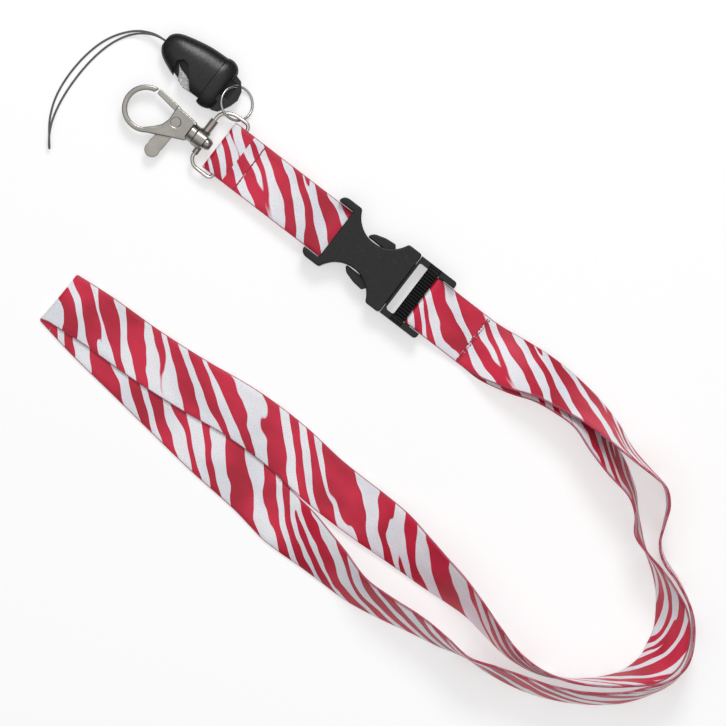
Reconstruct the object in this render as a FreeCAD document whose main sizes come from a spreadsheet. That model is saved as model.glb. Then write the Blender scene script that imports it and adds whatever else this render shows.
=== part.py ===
import FreeCAD, Part
import Sketcher
import math
import os

# A 20 mm neck lanyard: a long printed webbing loop, a side-release buckle, a short tail strap,
# a swivel claw hook, a thin ring and a quick-release phone cord. Millimetres, +Z up, floor at z = 0.
# The origin is the middle of the female buckle's underside; +X runs from the hook to the neck loop.

SIZES = {
    # webbing
    "strap_width": 20.0, "strap_thick": 0.9, "layer_gap": 0.06, "thread": 0.25,
    # common height of every hard piece's middle plane
    "mid_height": 4.4, "running_gap": 0.15, "side_room": 0.25, "seat_gap": 0.1,
    # female buckle half
    "socket_left": -17.8, "socket_mouth": 17.8, "socket_half": "=strap_width / 2 + 3", "socket_thick": 8.8,
    "wall": 1.6, "scallop_reach": 11.2, "scallop_x": 1.2, "scallop_depth": 7.2,
    "cavity_half": "=socket_half - 4", "cavity_end": -3.4, "pocket_end": -7.2, "pocket_mouth": -11.3,
    "socket_bar_x": -9.8, "socket_bar_radius": 1.2,
    # male buckle half
    "frame_end": 34.0, "rail_half": "=strap_width / 2 + 2.6", "rail_wide": "=2.6 - side_room", "rail_thick": 6.6,
    "grip_left": 22.3, "grip_right": 26.9, "grip_pitch": 1.15, "grip_ridge": 0.6, "grip_rise": 0.3,
    "strap_bar_x": 28.5, "strap_bar_radius": 1.1, "fold_room": 2.35,
    "flange_thick": 0.9, "flange_gap": 0.15, "plug_left": 15.6, "latch_thick": 5.0,
    "arm_offset": "=socket_half - 5.5", "arm_wide": 2.4, "thumb_half": "=socket_half - 2.8",
    "thumb_right": 7.8, "thumb_left": -1.6,
    "tongue_half": 2.6, "tongue_left": 0.5, "tongue_thick": 2.4,
    # tail strap
    "tail_fold_x": -64.4, "wire_bar_x": -59.4, "tail_seam_x": -50.4, "neck_seam_x": 50.3,
    # swivel and its wire loop
    "wire_radius": 0.75, "swivel_y": -2.4, "barrel_radius": 3.7, "barrel_left": -72.8,
    "barrel_right": -69.0, "stem_radius": 1.6, "stem_gap": 0.06, "dome_radius": 2.2,
    "wire_top_y": "=strap_width / 2 + 2.2", "wire_low_y": "=-strap_width / 2 - 1.7",
    "upper_sleeve_y": 6.1, "lower_sleeve_y": -7.9,
    # claw hook
    "hook_thick": 3.4, "claw_x": -93.0, "claw_y": -5.7, "claw_outer": 8.6, "claw_inner": 6.7,
    "plate_left": -84.4, "plate_right": -75.0, "plate_top": 2.1, "plate_low": -6.4,
    "collar_radius": 3.4, "lever_thick": 1.4, "lever_slot": 1.6, "pivot_x": -81.4, "pivot_y": -3.1,
    "rivet_radius": 0.8, "rivet_head": 1.7, "lever_disc": 2.6, "tab_half": 2.8, "tab_reach": 12.9,
    "arm_reach": 11.9, "gate_wide": 2.0,
    # thin ring
    "ring_radius": 6.2, "ring_wire": 0.5, "ring_x": -68.3, "ring_y": "=strap_width / 2 + 5.7", "ring_drop": 0.98,
    # quick-release connector
    "connector_thick": 8.6, "cord_radius": 0.4, "spigot_radius": 2.6, "spigot_gap": 0.1,
    "cap_joint_x": -80.4, "connector_y": "=strap_width / 2 + 7", "connector_half": 9.7,
    "joint_gap": 0.15, "tab_thick": 1.6,
    "ring_slot_left": 4.9, "ring_slot_right": 8.8, "ring_slot_low": 2.4, "ring_slot_high": 4.3,
    "web_left": 3.0, "web_right": 9.2, "web_floor": 0.5, "web_thick": 0.8, "web_margin": 0.6,
    "spigot_length": 8.0,
    "cord_y": "=connector_y + 1", "cord_hole_radius": 1.6, "anchor_radius": 1.5,
    "anchor_left": -99.3, "anchor_right": -95.2,
    "window_left": -14.2, "catch_thick": 3.0,
}

doc = FreeCAD.newDocument("Lanyard")
sheet = doc.addObject("Spreadsheet::Sheet", "Sizes")
for row, (alias, value) in enumerate(SIZES.items(), start=1):
    sheet.set("A%d" % row, alias)
    sheet.set("B%d" % row, str(value))
    sheet.setAlias("B%d" % row, alias)
doc.recompute()

NODES = []          # (object, node name) in the order they are written


def size(expression):
    """The value of an expression over the sheet's named sizes."""
    return float(sheet.evalExpression(qualified(expression)))


def qualified(expression):
    """The same expression with each alias written as a cell of the sheet."""
    text, word = "", ""
    for letter in str(expression) + " ":
        if letter.isalnum() or letter == "_":
            word += letter
        else:
            text += ("Sizes." + word if word in SIZES else word) + letter
            word = ""
    return text.strip()


def bind(obj, **expressions):
    """Tie each property of obj to an expression; place_x stands for Placement.Base.x."""
    for name, expression in expressions.items():
        path = name.replace("place_", ".Placement.Base.") if name.startswith("place_") else name
        obj.setExpression(path, qualified(expression))
    return obj


def box(name, left, right, front, back, low, high):
    """A block between two x, two y and two z expressions."""
    obj = doc.addObject("Part::Box", name)
    return bind(obj, Length=f"({right}) - ({left})", Width=f"({back}) - ({front})",
                Height=f"({high}) - ({low})", place_x=left, place_y=front, place_z=low)


def rod(name, radius, centre, axis, start, end):
    """A cylinder along X, Y or Z, from start to end, centred on the two other coordinates."""
    obj = doc.addObject("Part::Cylinder", name)
    turns = {"X": ((0, 1, 0), 90), "Y": ((1, 0, 0), -90), "Z": ((0, 0, 1), 0)}
    direction, angle = turns[axis]
    obj.Placement = FreeCAD.Placement(FreeCAD.Vector(), FreeCAD.Rotation(FreeCAD.Vector(*direction), angle))
    bind(obj, Radius=radius, Height=f"({end}) - ({start})")
    first, second = centre
    places = {"X": (start, first, second), "Y": (first, start, second), "Z": (first, second, start)}[axis]
    return bind(obj, place_x=places[0], place_y=places[1], place_z=places[2])


def fuse(name, *shapes):
    obj = doc.addObject("Part::MultiFuse", name)
    obj.Shapes = list(shapes)
    return obj


def cut(name, base, *tools):
    obj = doc.addObject("Part::Cut", name)
    obj.Base = base
    obj.Tool = tools[0] if len(tools) == 1 else fuse(name + "_tools", *tools)
    return obj


def node(obj, label):
    """Give a finished sub-part its node name."""
    obj.Label = label
    NODES.append((obj, label))
    return obj


def feature(label, shape):
    """A sub-part whose shape was worked out from the sheet with Part's own functions."""
    obj = doc.addObject("Part::Feature", label + "_solid")
    obj.Shape = shape
    return node(obj, label)


def outline_body(label, role, corners, low, depth):
    """A PartDesign body: a closed outline of straight edges on an origin plane, padded to a depth."""
    body = doc.addObject("PartDesign::Body", label + "_body")
    plane = [item for item in body.Origin.OriginFeatures if item.Role == role][0]
    sketch = body.newObject("Sketcher::SketchObject", label + "_sketch")
    sketch.AttachmentSupport = [(plane, "")]
    sketch.MapMode = "FlatFace"
    bind(sketch, **{".AttachmentOffset.Base.z": low})
    points = [FreeCAD.Vector(size(x), size(y), 0) for x, y in corners]
    for index, point in enumerate(points):
        sketch.addGeometry(Part.LineSegment(point, points[(index + 1) % len(points)]), False)
    for index in range(len(points)):
        sketch.addConstraint(Sketcher.Constraint("Coincident", index, 2, (index + 1) % len(points), 1))
    for index, (x, y) in enumerate(corners):
        for kind, expression in (("DistanceX", x), ("DistanceY", y)):
            number = sketch.addConstraint(Sketcher.Constraint(kind, -1, 1, index, 1, size(expression)))
            sketch.setExpression("Constraints[%d]" % number, qualified(expression))
    pad = body.newObject("PartDesign::Pad", label + "_pad")
    pad.Profile = sketch
    bind(pad, Length=depth)
    body.Tip = pad
    return body


# ---------------------------------------------------------------- webbing

def section(centre, across, normal, width, thick):
    """A rectangular wire: the webbing's cross-section at one station."""
    half_width, half_thick = across * (width / 2), normal * (thick / 2)
    corners = [centre + half_width + half_thick, centre + half_width - half_thick,
               centre - half_width - half_thick, centre - half_width + half_thick]
    return Part.makePolygon(corners + corners[:1])


def frames(stations, width, thick):
    """The centre, width direction and upward normal at each station of (x, y, lowest z, lean in degrees).

    The lean is how far the edge on the traveller's right is lifted: 0 lies flat, 90 stands on edge.
    """
    points = [FreeCAD.Vector(x, y, 0) for x, y, low, lean in stations]
    found = []
    for index, (x, y, low, lean) in enumerate(stations):
        ahead = points[min(index + 1, len(points) - 1)] - points[max(index - 1, 0)]
        ahead.normalize()
        right = FreeCAD.Vector(ahead.y, -ahead.x, 0)
        angle = math.radians(lean)
        across = right * math.cos(angle) + FreeCAD.Vector(0, 0, math.sin(angle))
        normal = FreeCAD.Vector(0, 0, math.cos(angle)) - right * math.sin(angle)
        rise = (width * math.sin(angle) + thick * abs(math.cos(angle))) / 2
        found.append((FreeCAD.Vector(x, y, low + rise), across, normal))
    return found


def ribbon(placed, width, thick):
    """Webbing through placed frames: a ruled loft of its sections."""
    wires = [section(centre, across, normal, width, thick) for centre, across, normal in placed]
    return Part.makeLoft(wires, True, True)


def band(points, thick, front, width):
    """Webbing seen from its side: a strip of even thickness along points (x, z), as wide as the strap."""
    flat = [FreeCAD.Vector(x, 0, z) for x, z in points]
    near, far = [], []
    for index, point in enumerate(flat):
        before = (point - flat[max(index - 1, 0)]) if index else flat[1] - point
        after = (flat[index + 1] - point) if index + 1 < len(flat) else before
        before.normalize()
        after.normalize()
        ahead = (before + after).normalize()
        side = FreeCAD.Vector(-ahead.z, 0, ahead.x)
        reach = thick / 2 / ahead.dot(after)
        near.append(point + side * reach)
        far.append(point - side * reach)
    loop = [FreeCAD.Vector(point.x, front, point.z) for point in near + far[::-1]]
    return Part.Face(Part.makePolygon(loop + loop[:1])).extrude(FreeCAD.Vector(0, width, 0))


WIDTH = size("strap_width")
THICK = size("strap_thick")
GAP = size("layer_gap")
MID = size("mid_height")

# The neck loop is one webbing, doubled: an outer and an inner strand. Each row is x, y, lowest z, lean.
OUTER_STRAND = [
    (50.3, 0.0, 1.10, 0), (53.5, 0.0, 1.2, 0), (60, 0.7, 1.5, 10), (70, 2.85, 1.8, 26), (80, 4.9, 1.7, 41),
    (90, 5.5, 1.1, 50), (100, 5.5, 0.3, 60), (110, 4.3, 0.1, 69), (120, 2.2, 0.1, 80),
    (130, 1.1, 0.05, 86), (137, 0.0, 0.05, 88), (142, -4.5, 0.05, 88), (145, -11, 0.05, 86),
    (147.8, -17, 0.05, 85), (152.5, -21.0, 0.05, 85), (161.2, -24.0, 0.05, 86),
    (170.8, -29.1, 0.05, 87), (177.5, -36.2, 0.05, 87), (181.7, -44.9, 0.05, 86), (181.6, -52.5, 0.05, 82),
    (177.9, -60, 0.05, 78), (170.5, -69.5, 0.05, 75), (160, -77.6, 0.05, 74), (148.5, -83.6, 0.05, 73),
    (139, -86.8, 0.05, 73), (128, -89.6, 0.05, 78), (118, -91.5, 0.05, 86),
    (108, -92.4, 0.05, 76), (97, -93.3, 0.05, 68), (84, -95.3, 0.05, 62), (72, -96.5, 0.05, 56),
    (60, -95.1, 0.05, 43), (50, -94.0, 0.05, 30), (42, -93.4, 0.05, 14), (35, -93.1, 0.05, 3),
    (30, -92.3, 0.05, 0), (20, -90.8, 0.05, 0), (0, -89.3, 0.05, 0), (-20, -87.0, 0.05, 0), (-40, -84.6, 0.05, 0),
    (-60, -82.2, 0.05, 0), (-75.2, -79.6, 0.05, 0),
]
INNER_STRAND = [
    (50.3, 0.0, 0.14, 0), (53.5, 0.0, 0.12, 0), (60, -0.2, 0.1, 5), (70, 1.6, 0.05, 18), (80, 3.7, 0.05, 35),
    (90, 3.9, 0.05, 45.5), (100, 2.7, 0.05, 53), (110, -1.9, 0.05, 61), (120, -5.4, 0.05, 67),
    (129, -9.0, 0.05, 79), (134.5, -13.6, 0.05, 84), (139.5, -19.0, 0.05, 80), (146, -22.6, 0.05, 88),
    (152.5, -25.2, 0.05, 96), (159.5, -29.0, 0.05, 106), (166.3, -34.2, 0.05, 120),
    (171.2, -40.5, 0.05, 127), (173.4, -48.0, 0.05, 130), (172.3, -55.5, 0.05, 118),
    (167.6, -63.0, 0.05, 102), (160.8, -69.8, 0.05, 94), (151.5, -76.1, 0.05, 88),
    (141, -80.0, 0.05, 82), (130, -80.6, 0.05, 77), (120, -78.7, 0.05, 72),
    (110, -76.4, 0.05, 66), (100, -75.1, 0.05, 55), (90, -74.5, 0.3, 45), (80, -73.7, 0.6, 34),
    (70, -73.0, 0.8, 19), (60, -73.1, 1.0, 6), (40, -73.0, 1.15, 0), (20, -71.2, 1.15, 0),
    (0, -71.6, 1.15, 0), (-20, -74.2, 1.15, 0), (-40, -75.9, 1.15, 0), (-60, -76.6, 1.15, 0),
    (-75.2, -77.9, 1.15, 0),
]
# Each strand is three lengths, named with their first and last stations.
OUTER_LENGTHS = {"front": (0, 12), "bend": (12, 23), "back": (23, 41)}
INNER_LENGTHS = {"front": (0, 12), "bend": (12, 21), "back": (21, 37)}


def neck_webbing():
    """The six lengths of the neck loop's two strands, and the half turn that joins them."""
    outer = frames(OUTER_STRAND, WIDTH, THICK)
    inner = frames(INNER_STRAND, WIDTH, THICK)
    for strand, placed, lengths in (("outer", outer, OUTER_LENGTHS), ("inner", inner, INNER_LENGTHS)):
        for name, (first, last) in lengths.items():
            feature(f"neck_strap_{strand}_{name}", ribbon(placed[first:last + 1], WIDTH, THICK))
    neck_end_fold(outer[-1], inner[-1])


def neck_end_fold(lower, upper):
    """The webbing's half turn at the loop's far end, from the lower layer to the upper one."""
    low_centre, low_across, low_normal = lower
    top_centre, top_across, top_normal = upper
    bulge = 1.2
    turn = [lower]
    for step in range(1, 8):
        angle, share = math.pi * step / 8, step / 8
        centre = low_centre * (1 - share) + top_centre * share
        centre.z = (low_centre.z * (1 + math.cos(angle)) + top_centre.z * (1 - math.cos(angle))) / 2
        centre.x -= bulge * math.sin(angle)
        across = (low_across * (1 - share) + top_across * share).normalize()
        ahead = FreeCAD.Vector(-across.y, across.x, 0)
        turn.append((centre, across, low_normal * math.cos(angle) - ahead * math.sin(angle)))
    turn.append((top_centre, top_across, top_normal * -1))
    feature("neck_strap_end_fold", ribbon(turn, WIDTH, THICK))


def folded_strap(label, bar_x, bar_radius, far_x, far_low):
    """Webbing round a bar: a half turn about it, and two layers running to far_x."""
    inner = bar_radius + size("running_gap")
    middle = inner + THICK / 2
    turn = [(bar_x + middle * math.cos(math.radians(a)), MID + middle * math.sin(math.radians(a)))
            for a in range(90, 271, 15)]
    knee_x = bar_x + 5.5
    upper_z, lower_z = far_low + 1.5 * THICK + GAP, far_low + THICK / 2
    slope = (MID - (upper_z + lower_z) / 2) / (far_x - 2.0 - bar_x)
    knee_z = MID - slope * (knee_x - bar_x)
    half = (THICK + GAP) / 2
    level_x = far_x - 2.0
    path = [(far_x, upper_z), (level_x, upper_z), (knee_x, knee_z + half)] + turn
    path += [(knee_x, knee_z - half), (level_x, lower_z), (far_x, lower_z)]
    feature(label, band(path, THICK, -WIDTH / 2, WIDTH))


def tail_strap():
    """A short band of webbing round the socket's bar and the swivel's wire, its two layers sewn."""
    bar_x, wire_x = size("socket_bar_x"), size("wire_bar_x")
    round_bar = size("socket_bar_radius + running_gap") + THICK / 2
    fold = size("wire_radius + running_gap") + THICK / 2
    fold_x = size("tail_fold_x") + fold + THICK / 2
    half = (THICK + GAP) / 2

    def turn(x, radius, first):
        return [(x + radius * math.sin(math.radians(a)), MID + radius * math.cos(math.radians(a)))
                for a in range(first, first + 181, 15)]

    pocket_end = wire_x + 4.0
    seam_x = size("tail_seam_x")
    outer = [(seam_x, MID + half), (bar_x - 5.0, MID + half)] + turn(bar_x, round_bar, 0)
    outer += [(bar_x - 5.0, MID - half), (seam_x, MID - half), (pocket_end, MID - fold)]
    outer += turn(fold_x, fold, 180) + [(pocket_end, MID + fold)]
    edge = Part.makePolygon([FreeCAD.Vector(x, -WIDTH / 2, z) for x, z in outer + outer[:1]])
    outside = Part.Face(edge.makeOffset2D(THICK / 2))
    inside = Part.Face(edge.makeOffset2D(-THICK / 2)) if half > THICK / 2 else None
    shape = outside.cut(inside) if inside else outside
    feature("tail_strap", shape.extrude(FreeCAD.Vector(0, WIDTH, 0)))


def stitching(label, seam_x, top_z):
    """A row of thread stitches across the webbing, standing just proud of its top layer."""
    stitches = []
    count = 9
    pitch = WIDTH / count
    radius = size("thread")
    for index in range(count):
        start = -WIDTH / 2 + pitch * (index + 0.18)
        stitches.append(Part.makeCylinder(radius, pitch * 0.64, FreeCAD.Vector(seam_x, start, top_z + radius),
                                          FreeCAD.Vector(0, 1, 0)))
    feature(label, Part.makeCompound(stitches))


def webbing():
    neck_webbing()
    seam_x = size("neck_seam_x")
    folded_strap("neck_strap_buckle_fold", size("strap_bar_x"), size("strap_bar_radius"), seam_x,
                 OUTER_STRAND[0][2] - THICK - GAP)
    stitching("neck_seam_stitching", seam_x + 1.5, OUTER_STRAND[0][2] + THICK + 0.2)
    tail_strap()
    stitching("tail_seam_stitching", size("tail_seam_x"), MID + THICK + GAP / 2 + 0.04)


# ---------------------------------------------------------------- side-release buckle

def buckle_socket():
    """The female half: a hollow shell, open at its mouth and at the two thumb scallops."""
    low, high = "0", "socket_thick"
    block = box("socket_block", "socket_left", "socket_mouth", "-socket_half", "socket_half", low, high)
    rear = box("socket_rear_gap", "socket_left - 1", "pocket_mouth",
               "-strap_width / 2 - side_room", "strap_width / 2 + side_room", "-1", "socket_thick + 1")
    scallops = [rod(f"socket_scallop_{side}", "scallop_reach",
                    ("scallop_x", f"{sign} * (socket_half - scallop_depth + scallop_reach)"),
                    "Z", "-1", "socket_thick + 1") for side, sign in (("left", 1), ("right", -1))]
    cavity = box("socket_cavity", "cavity_end", "socket_mouth + 1", "-cavity_half", "cavity_half",
                 "wall", "socket_thick - wall")
    pocket = box("socket_pocket", "pocket_mouth - 1", "pocket_end",
                 "-strap_width / 2 - side_room", "strap_width / 2 + side_room", "wall", "socket_thick - wall")
    shell = cut("socket_shell", block, rear, *scallops, cavity, pocket)
    bar = rod("socket_bar", "socket_bar_radius", ("socket_bar_x", "mid_height"), "Y",
              "-strap_width / 2 - 1", "strap_width / 2 + 1")
    node(fuse("socket_whole", shell, bar), "buckle_socket")


def buckle_frame():
    """The male half: flange, plug, guide tongue, side rails, ribbed grip and the neck strap's bar."""
    middle = "mid_height"
    flange_left = "socket_mouth + flange_gap"
    half_latch = "latch_thick / 2"
    pieces = [
        box("frame_flange", flange_left, f"{flange_left} + flange_thick", "-rail_half", "rail_half",
            f"{middle} - rail_thick / 2", f"{middle} + rail_thick / 2"),
        box("frame_plug", "plug_left", f"{flange_left} + flange_thick", "-cavity_half + 0.2",
            "cavity_half - 0.2", f"{middle} - {half_latch}", f"{middle} + {half_latch}"),
        box("frame_tongue", "tongue_left", "plug_left", "-tongue_half", "tongue_half",
            f"{middle} - tongue_thick / 2", f"{middle} + tongue_thick / 2"),
        box("frame_grip", "grip_left", "grip_right", "-rail_half", "rail_half",
            f"{middle} - rail_thick / 2 + grip_rise", f"{middle} + rail_thick / 2 - grip_rise"),
        rod("frame_bar", "strap_bar_radius", ("strap_bar_x", middle), "Y", "-rail_half + 0.5",
            "rail_half - 0.5"),
    ]
    for side, near, far in (("left", "rail_half - rail_wide", "rail_half"),
                            ("right", "-rail_half", "-rail_half + rail_wide")):
        pieces.append(box(f"frame_rail_{side}", flange_left, "frame_end", near, far,
                          f"{middle} - rail_thick / 2", f"{middle} + rail_thick / 2"))
    count = int(size("2 * (rail_half - rail_wide)") / size("grip_pitch"))
    for index in range(count):
        offset = f"(grip_pitch * ({index} - {(count - 1) / 2}))"
        pieces.append(box(f"grip_ridge_{index}", "grip_left", "grip_right", f"{offset} - grip_ridge / 2",
                          f"{offset} + grip_ridge / 2", middle,
                          f"{middle} + rail_thick / 2"))
    undercut = box("grip_undercut", "strap_bar_x - strap_bar_radius - running_gap - strap_thick - seat_gap",
                   "grip_right + 0.1", "-rail_half + rail_wide", "rail_half - rail_wide",
                   f"{middle} - fold_room", f"{middle} + fold_room")
    node(cut("frame_cut", fuse("frame_whole", *pieces), undercut), "buckle_frame")


def latch_arm(side, sign):
    """One sprung arm, from its rounded root in the plug to the thumb pad in the scallop."""
    root_x = "(plug_left - seat_gap)"
    low, high = "mid_height - latch_thick / 2", "mid_height + latch_thick / 2"
    near, far = "arm_offset - arm_wide / 2", "arm_offset + arm_wide / 2"
    corners = [
        (f"{root_x} - arm_wide / 2", near), (f"{root_x} - arm_wide / 2", far),
        ("thumb_right + 1.2", far), ("thumb_right", "thumb_half"), ("thumb_right - 4", "thumb_half - 0.4"),
        ("thumb_left + 1.4", "thumb_half - 1.6"), ("thumb_left", "thumb_half - 3"), ("thumb_left", near),
    ]
    corners = [(x, f"{sign} * ({y})") for x, y in corners]
    if sign < 0:
        corners = corners[::-1]
    blade = outline_body(f"latch_blade_{side}", "XY_Plane", corners, low, "latch_thick")
    root = rod(f"latch_root_{side}", "arm_wide / 2", (f"{root_x} - arm_wide / 2", f"{sign} * arm_offset"),
               "Z", low, high)
    node(fuse(f"latch_{side}", blade, root), f"latch_arm_{side}")


# ---------------------------------------------------------------- swivel, hook and ring

def wire_path(points, radii):
    """Straight runs joined by tangent arcs of the given radii, as one wire."""
    points = [FreeCAD.Vector(*point) for point in points]
    edges, start = [], points[0]
    for before, corner, after, radius in zip(points, points[1:], points[2:], radii):
        arrive = (corner - before).normalize()
        leave = (after - corner).normalize()
        turn = arrive.getAngle(leave)
        reach = radius * math.tan(turn / 2)
        entry, exit_point = corner - arrive * reach, corner + leave * reach
        inward = (leave - arrive).normalize()
        centre = corner + inward * (radius / math.cos(turn / 2))
        middle = centre - inward * radius
        if (entry - start).Length > 1e-6:
            edges.append(Part.LineSegment(start, entry).toShape())
        edges.append(Part.Arc(entry, middle, exit_point).toShape())
        start = exit_point
    edges.append(Part.LineSegment(start, points[-1]).toShape())
    return Part.Wire(edges)


def tube(path, radius):
    """A round solid swept along a wire."""
    first = path.OrderedEdges[0]
    start, ahead = first.valueAt(first.FirstParameter), first.tangentAt(first.FirstParameter)
    ring = Part.Wire([Part.makeCircle(radius, start, ahead)])
    return path.makePipeShell([ring], True, False)


def strap_loop_wire():
    """The bent wire between the swivel's two sleeves; its straight bar lies in the tail strap's fold."""
    upper, lower = size("upper_sleeve_y"), size("lower_sleeve_y")
    top, bottom, bar = size("wire_top_y"), size("wire_low_y"), size("wire_bar_x")
    left = size("barrel_left") + 2.0
    inset = size("barrel_right") - 0.4
    points = [(left, upper - 1.4, MID), (left, upper + 2.9, MID), (left + 3.6, top - 0.2, MID),
              (bar, top, MID), (bar, bottom, MID), (inset + 2.2, bottom + 0.1, MID),
              (inset, lower - 1.6, MID), (inset, lower + 1.4, MID)]
    radii = [4.0, 7.0, 2.1, 1.65, 3.8, 3.0]
    feature("strap_loop_wire", tube(wire_path(points, radii), size("wire_radius")))


def swivel_barrel():
    """The hub that the wire loop is fixed in, bored for the hook's stem."""
    axis = ("swivel_y", "mid_height")
    drum = rod("barrel_drum", "barrel_radius", axis, "X", "barrel_left", "barrel_right")
    upper = rod("barrel_upper_sleeve", "wire_radius + 0.8", ("barrel_left + 2", "mid_height"), "Y",
                "swivel_y", "upper_sleeve_y")
    lower = rod("barrel_lower_sleeve", "wire_radius + 0.4", ("barrel_right - 0.4", "mid_height"), "Y",
                "lower_sleeve_y", "swivel_y - dome_radius - 0.3")
    bore = rod("barrel_bore", "stem_radius + stem_gap", axis, "X", "barrel_left - 5", "barrel_right + 5")
    sockets = [
        rod("barrel_upper_socket", "wire_radius", ("barrel_left + 2", "mid_height"), "Y",
            "upper_sleeve_y - 1.4", "upper_sleeve_y + 1"),
        rod("barrel_lower_socket", "wire_radius", ("barrel_right - 0.4", "mid_height"), "Y",
            "lower_sleeve_y - 1", "lower_sleeve_y + 1.4"),
    ]
    whole = fuse("barrel_block", drum, upper, lower)
    node(cut("barrel_cut", whole, bore, *sockets), "swivel_barrel")


def swivel_stem():
    """The riveted stem: it turns in the barrel and its dome holds the hook on."""
    axis = ("swivel_y", "mid_height")
    shank = rod("stem_shank", "stem_radius", axis, "X", "plate_right + 2", "barrel_right + 0.3")
    head = rod("stem_head", "dome_radius", axis, "X", "barrel_right + 0.15", "barrel_right + 1.1")
    dome = doc.addObject("Part::Sphere", "stem_dome")
    bind(dome, Radius="dome_radius", place_x="barrel_right + 1.1", place_y="swivel_y",
         place_z="mid_height")
    keep = box("stem_dome_keep", "barrel_right + 1", "barrel_right + 1.1 + dome_radius * 0.8",
               "swivel_y - dome_radius", "swivel_y + dome_radius", "mid_height - dome_radius",
               "mid_height + dome_radius")
    cap = doc.addObject("Part::Common", "stem_dome_cap")
    cap.Base, cap.Tool = dome, keep
    node(fuse("stem_whole", shank, head, cap), "swivel_stem")


def hook_body():
    """The claw, its plate with the lever's slot, and the collar that faces the barrel."""
    low, high = "mid_height - hook_thick / 2", "mid_height + hook_thick / 2"
    outer = rod("claw_outside", "claw_outer", ("claw_x", "claw_y"), "Z", low, high)
    inner = rod("claw_inside", "claw_inner", ("claw_x", "claw_y"), "Z", f"{low} - 1", f"{high} + 1")
    tip_room = outline_body("claw_tip_room", "XY_Plane", [
        ("claw_x - 0.4", "claw_y + claw_outer + 0.5"), ("claw_x - 0.4", "claw_y + claw_outer"),
        ("claw_x - 1.3", "claw_y + claw_inner - 0.3"), ("claw_x + 1", "claw_y + claw_inner - 0.3"),
        ("claw_x + 1", "claw_y + claw_outer + 0.5"),
    ], f"{low} - 1", "hook_thick + 2")
    claw = cut("claw_ring", outer, inner, tip_room,
               box("claw_mouth", "claw_x - 0.3", "claw_x + claw_outer + 1", "claw_y - claw_outer * 0.62",
                   "claw_y + claw_outer + 1", f"{low} - 1", f"{high} + 1"))
    plate = outline_body("hook_plate", "XY_Plane", [
        ("claw_x + 2.6", "claw_y - 8.1"), ("plate_left + 3.8", "plate_low - 2.6"), ("plate_right", "plate_low"),
        ("plate_right", "plate_top - 0.7"), ("plate_left", "plate_top"), ("plate_left + 0.3", "plate_low + 2.6"),
        ("plate_left - 0.6", "plate_low - 0.2"), ("plate_left - 2.6", "plate_low - 2.6"),
        ("claw_x + 3.2", "claw_y - 5.9"),
    ], low, "hook_thick")
    collar = rod("hook_collar", "collar_radius", ("swivel_y", "mid_height"), "X", "plate_right - 0.6",
                 "barrel_left - 0.1")
    whole = fuse("hook_block", claw, plate, collar)
    slot_low, slot_high = "mid_height - lever_slot / 2", "mid_height + lever_slot / 2"
    slot = box("hook_lever_slot", "plate_left - 2.2", "plate_right - 1.4", "claw_y - 12",
               "plate_top - 0.9", slot_low, slot_high)
    arm_slot = box("hook_arm_slot", "plate_left - 2", "pivot_x + 1", "plate_top - 1", "plate_top + 1",
                   slot_low, slot_high)
    hole = rod("hook_rivet_hole", "rivet_radius", ("pivot_x", "pivot_y"), "Z", "0", f"{high} + 1")
    sinks = [rod("hook_top_sink", "rivet_head + 0.05", ("pivot_x", "pivot_y"), "Z", f"{high} - 0.4", f"{high} + 1"),
             rod("hook_low_sink", "rivet_head + 0.05", ("pivot_x", "pivot_y"), "Z", f"{low} - 1", f"{low} + 0.4")]
    stem = rod("hook_stem_hole", "stem_radius", ("swivel_y", "mid_height"), "X", "plate_right + 2", "barrel_right")
    node(cut("hook_cut", whole, slot, arm_slot, hole, *sinks, stem), "hook_body")


def hook_lever():
    """The gate: its arm closes the claw and its thumb tab turns it about the rivet."""
    low = "mid_height - lever_thick / 2"
    high = "mid_height + lever_thick / 2"
    tip_x = "(pivot_x - arm_reach + 0.2)"
    arm = outline_body("lever_arm", "XY_Plane", [
        (tip_x, "plate_top + 1 - gate_wide"), ("plate_left", "plate_top - 0.1 - gate_wide"),
        ("pivot_x - 2.4", "pivot_y - 0.4"), ("pivot_x + 1.2", "pivot_y + 1.2"),
        ("pivot_x - 0.6", "plate_top - 0.2"), ("plate_left", "plate_top + 0.3"), (tip_x, "plate_top + 1"),
    ], low, "lever_thick")
    tab = outline_body("lever_tab", "XY_Plane", [
        ("pivot_x - 2.2", "pivot_y - 1"), ("pivot_x - 0.9 - tab_half", "pivot_y - tab_reach + 2"),
        ("pivot_x - 0.9 - tab_half * 0.4", "pivot_y - tab_reach - tab_half * 0.9"),
        ("pivot_x - 0.9 + tab_half * 0.4", "pivot_y - tab_reach - tab_half * 0.9"),
        ("pivot_x - 0.9 + tab_half", "pivot_y - tab_reach + 2"), ("pivot_x + 2.2", "pivot_y - 1"),
    ], low, "lever_thick")
    thumb = rod("lever_thumb", "tab_half", ("pivot_x - 0.9", "pivot_y - tab_reach"), "Z", low, high)
    disc = rod("lever_disc_blank", "lever_disc", ("pivot_x", "pivot_y"), "Z", low, high)
    hole = rod("lever_hole", "rivet_radius + stem_gap", ("pivot_x", "pivot_y"), "Z", "0", "socket_thick")
    well = rod("lever_spring_well", "rivet_head + 0.25", ("pivot_x", "pivot_y"), "Z",
               f"{high} - 0.7", f"{high} + 1")
    whole = fuse("lever_block", arm, tab, thumb, disc)
    node(cut("lever_cut", whole, hole, well), "hook_lever")


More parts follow.
